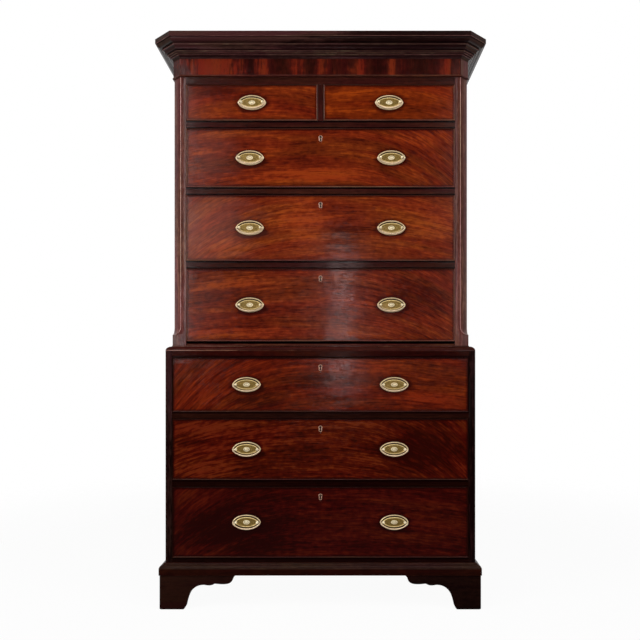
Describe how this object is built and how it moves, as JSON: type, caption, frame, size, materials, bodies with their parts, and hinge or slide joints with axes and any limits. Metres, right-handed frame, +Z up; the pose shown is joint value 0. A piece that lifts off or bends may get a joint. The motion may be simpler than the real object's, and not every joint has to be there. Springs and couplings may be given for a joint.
{
  "type": "chest on chest",
  "caption": "Tall two-part mahogany chest of drawers with canted upper corners, stepped cornice, brass bail handles and bracket feet.",
  "frame": {"origin": "middle of the chest's bounding box in plan, on the floor under the feet", "axes": "+Z up, drawer fronts face -Y, +X to the right for someone who faces the fronts"},
  "size_m": [1.086, 0.568, 1.859],
  "materials": {
    "mahogany_front": "figured mahogany, French polished, satin gloss",
    "mahogany_case": "plain mahogany, dark and polished",
    "mahogany_moulding": "near-black polished mahogany, worn at the arrises",
    "drawer_oak": "unfinished oak, aged",
    "carcase_pine": "unfinished pine, aged brown",
    "brass": "stamped brass with a worn gilt lacquer"
  },
  "bodies": {
    "case": {"cornice": "mahogany_moulding", "upper_frame": "mahogany_case", "upper_left_side": "mahogany_case", "upper_right_side": "mahogany_case", "upper_bottom": "carcase_pine", "upper_back": "carcase_pine", "waist_moulding": "mahogany_moulding", "lower_frame": "mahogany_case", "lower_left_side": "mahogany_case", "lower_right_side": "mahogany_case", "lower_back": "carcase_pine", "base_moulding": "mahogany_moulding", "foot_front_left": "mahogany_moulding", "foot_front_right": "mahogany_moulding", "foot_back_left": "mahogany_moulding", "foot_back_right": "mahogany_moulding"},
    "short_left_pull": {"short_left_bail": "brass"},
    "short_left_drawer": {"short_left_front": "mahogany_front", "short_left_box": "drawer_oak", "short_left_plate": "brass"},
    "short_right_pull": {"short_right_bail": "brass"},
    "short_right_drawer": {"short_right_front": "mahogany_front", "short_right_box": "drawer_oak", "short_right_plate": "brass"},
    "upper_1_pull_left": {"upper_1_bail_left": "brass"},
    "upper_1_pull_right": {"upper_1_bail_right": "brass"},
    "upper_1_drawer": {"upper_1_front": "mahogany_front", "upper_1_box": "drawer_oak", "upper_1_plate_left": "brass", "upper_1_plate_right": "brass"},
    "upper_2_pull_left": {"upper_2_bail_left": "brass"},
    "upper_2_pull_right": {"upper_2_bail_right": "brass"},
    "upper_2_drawer": {"upper_2_front": "mahogany_front", "upper_2_box": "drawer_oak", "upper_2_plate_left": "brass", "upper_2_plate_right": "brass"},
    "upper_3_pull_left": {"upper_3_bail_left": "brass"},
    "upper_3_pull_right": {"upper_3_bail_right": "brass"},
    "upper_3_drawer": {"upper_3_front": "mahogany_front", "upper_3_box": "drawer_oak", "upper_3_plate_left": "brass", "upper_3_plate_right": "brass"},
    "lower_1_pull_left": {"lower_1_bail_left": "brass"},
    "lower_1_pull_right": {"lower_1_bail_right": "brass"},
    "lower_1_drawer": {"lower_1_front": "mahogany_front", "lower_1_box": "drawer_oak", "lower_1_plate_left": "brass", "lower_1_plate_right": "brass"},
    "lower_2_pull_left": {"lower_2_bail_left": "brass"},
    "lower_2_pull_right": {"lower_2_bail_right": "brass"},
    "lower_2_drawer": {"lower_2_front": "mahogany_front", "lower_2_box": "drawer_oak", "lower_2_plate_left": "brass", "lower_2_plate_right": "brass"},
    "lower_3_pull_left": {"lower_3_bail_left": "brass"},
    "lower_3_pull_right": {"lower_3_bail_right": "brass"},
    "lower_3_drawer": {"lower_3_front": "mahogany_front", "lower_3_box": "drawer_oak", "lower_3_plate_left": "brass", "lower_3_plate_right": "brass"}
  },
  "joints": [
    {"name": "short_left_slide", "type": "slide", "parent": "case", "child": "short_left_drawer", "axis": [0, -1, 0], "range_m": [0, 0.38]},
    {"name": "short_left_pull_swing", "type": "hinge", "parent": "short_left_drawer", "child": "short_left_pull", "pos_m": [-0.225, -0.2355, 1.6495], "axis": [-1, 0, 0], "range_deg": [-10, 190]},
    {"name": "short_right_slide", "type": "slide", "parent": "case", "child": "short_right_drawer", "axis": [0, -1, 0], "range_m": [0, 0.38]},
    {"name": "short_right_pull_swing", "type": "hinge", "parent": "short_right_drawer", "child": "short_right_pull", "pos_m": [0.225, -0.2355, 1.6495], "axis": [-1, 0, 0], "range_deg": [-10, 190]},
    {"name": "upper_1_slide", "type": "slide", "parent": "case", "child": "upper_1_drawer", "axis": [0, -1, 0], "range_m": [0, 0.38]},
    {"name": "upper_1_pull_left_swing", "type": "hinge", "parent": "upper_1_drawer", "child": "upper_1_pull_left", "pos_m": [-0.232, -0.2355, 1.4685], "axis": [-1, 0, 0], "range_deg": [-10, 190]},
    {"name": "upper_1_pull_right_swing", "type": "hinge", "parent": "upper_1_drawer", "child": "upper_1_pull_right", "pos_m": [0.232, -0.2355, 1.4685], "axis": [-1, 0, 0], "range_deg": [-10, 190]},
    {"name": "upper_2_slide", "type": "slide", "parent": "case", "child": "upper_2_drawer", "axis": [0, -1, 0], "range_m": [0, 0.38]},
    {"name": "upper_2_pull_left_swing", "type": "hinge", "parent": "upper_2_drawer", "child": "upper_2_pull_left", "pos_m": [-0.232, -0.2355, 1.23875], "axis": [-1, 0, 0], "range_deg": [-10, 190]},
    {"name": "upper_2_pull_right_swing", "type": "hinge", "parent": "upper_2_drawer", "child": "upper_2_pull_right", "pos_m": [0.232, -0.2355, 1.23875], "axis": [-1, 0, 0], "range_deg": [-10, 190]},
    {"name": "upper_3_slide", "type": "slide", "parent": "case", "child": "upper_3_drawer", "axis": [0, -1, 0], "range_m": [0, 0.38]},
    {"name": "upper_3_pull_left_swing", "type": "hinge", "parent": "upper_3_drawer", "child": "upper_3_pull_left", "pos_m": [-0.232, -0.2355, 0.98625], "axis": [-1, 0, 0], "range_deg": [-10, 190]},
    {"name": "upper_3_pull_right_swing", "type": "hinge", "parent": "upper_3_drawer", "child": "upper_3_pull_right", "pos_m": [0.232, -0.2355, 0.98625], "axis": [-1, 0, 0], "range_deg": [-10, 190]},
    {"name": "lower_1_slide", "type": "slide", "parent": "case", "child": "lower_1_drawer", "axis": [0, -1, 0], "range_m": [0, 0.4]},
    {"name": "lower_1_pull_left_swing", "type": "hinge", "parent": "lower_1_drawer", "child": "lower_1_pull_left", "pos_m": [-0.24, -0.2555, 0.7255], "axis": [-1, 0, 0], "range_deg": [-10, 190]},
    {"name": "lower_1_pull_right_swing", "type": "hinge", "parent": "lower_1_drawer", "child": "lower_1_pull_right", "pos_m": [0.24, -0.2555, 0.7255], "axis": [-1, 0, 0], "range_deg": [-10, 190]},
    {"name": "lower_2_slide", "type": "slide", "parent": "case", "child": "lower_2_drawer", "axis": [0, -1, 0], "range_m": [0, 0.4]},
    {"name": "lower_2_pull_left_swing", "type": "hinge", "parent": "lower_2_drawer", "child": "lower_2_pull_left", "pos_m": [-0.24, -0.2555, 0.5155], "axis": [-1, 0, 0], "range_deg": [-10, 190]},
    {"name": "lower_2_pull_right_swing", "type": "hinge", "parent": "lower_2_drawer", "child": "lower_2_pull_right", "pos_m": [0.24, -0.2555, 0.5155], "axis": [-1, 0, 0], "range_deg": [-10, 190]},
    {"name": "lower_3_slide", "type": "slide", "parent": "case", "child": "lower_3_drawer", "axis": [0, -1, 0], "range_m": [0, 0.4]},
    {"name": "lower_3_pull_left_swing", "type": "hinge", "parent": "lower_3_drawer", "child": "lower_3_pull_left", "pos_m": [-0.24, -0.2555, 0.2785], "axis": [-1, 0, 0], "range_deg": [-10, 190]},
    {"name": "lower_3_pull_right_swing", "type": "hinge", "parent": "lower_3_drawer", "child": "lower_3_pull_right", "pos_m": [0.24, -0.2555, 0.2785], "axis": [-1, 0, 0], "range_deg": [-10, 190]}
  ]
}
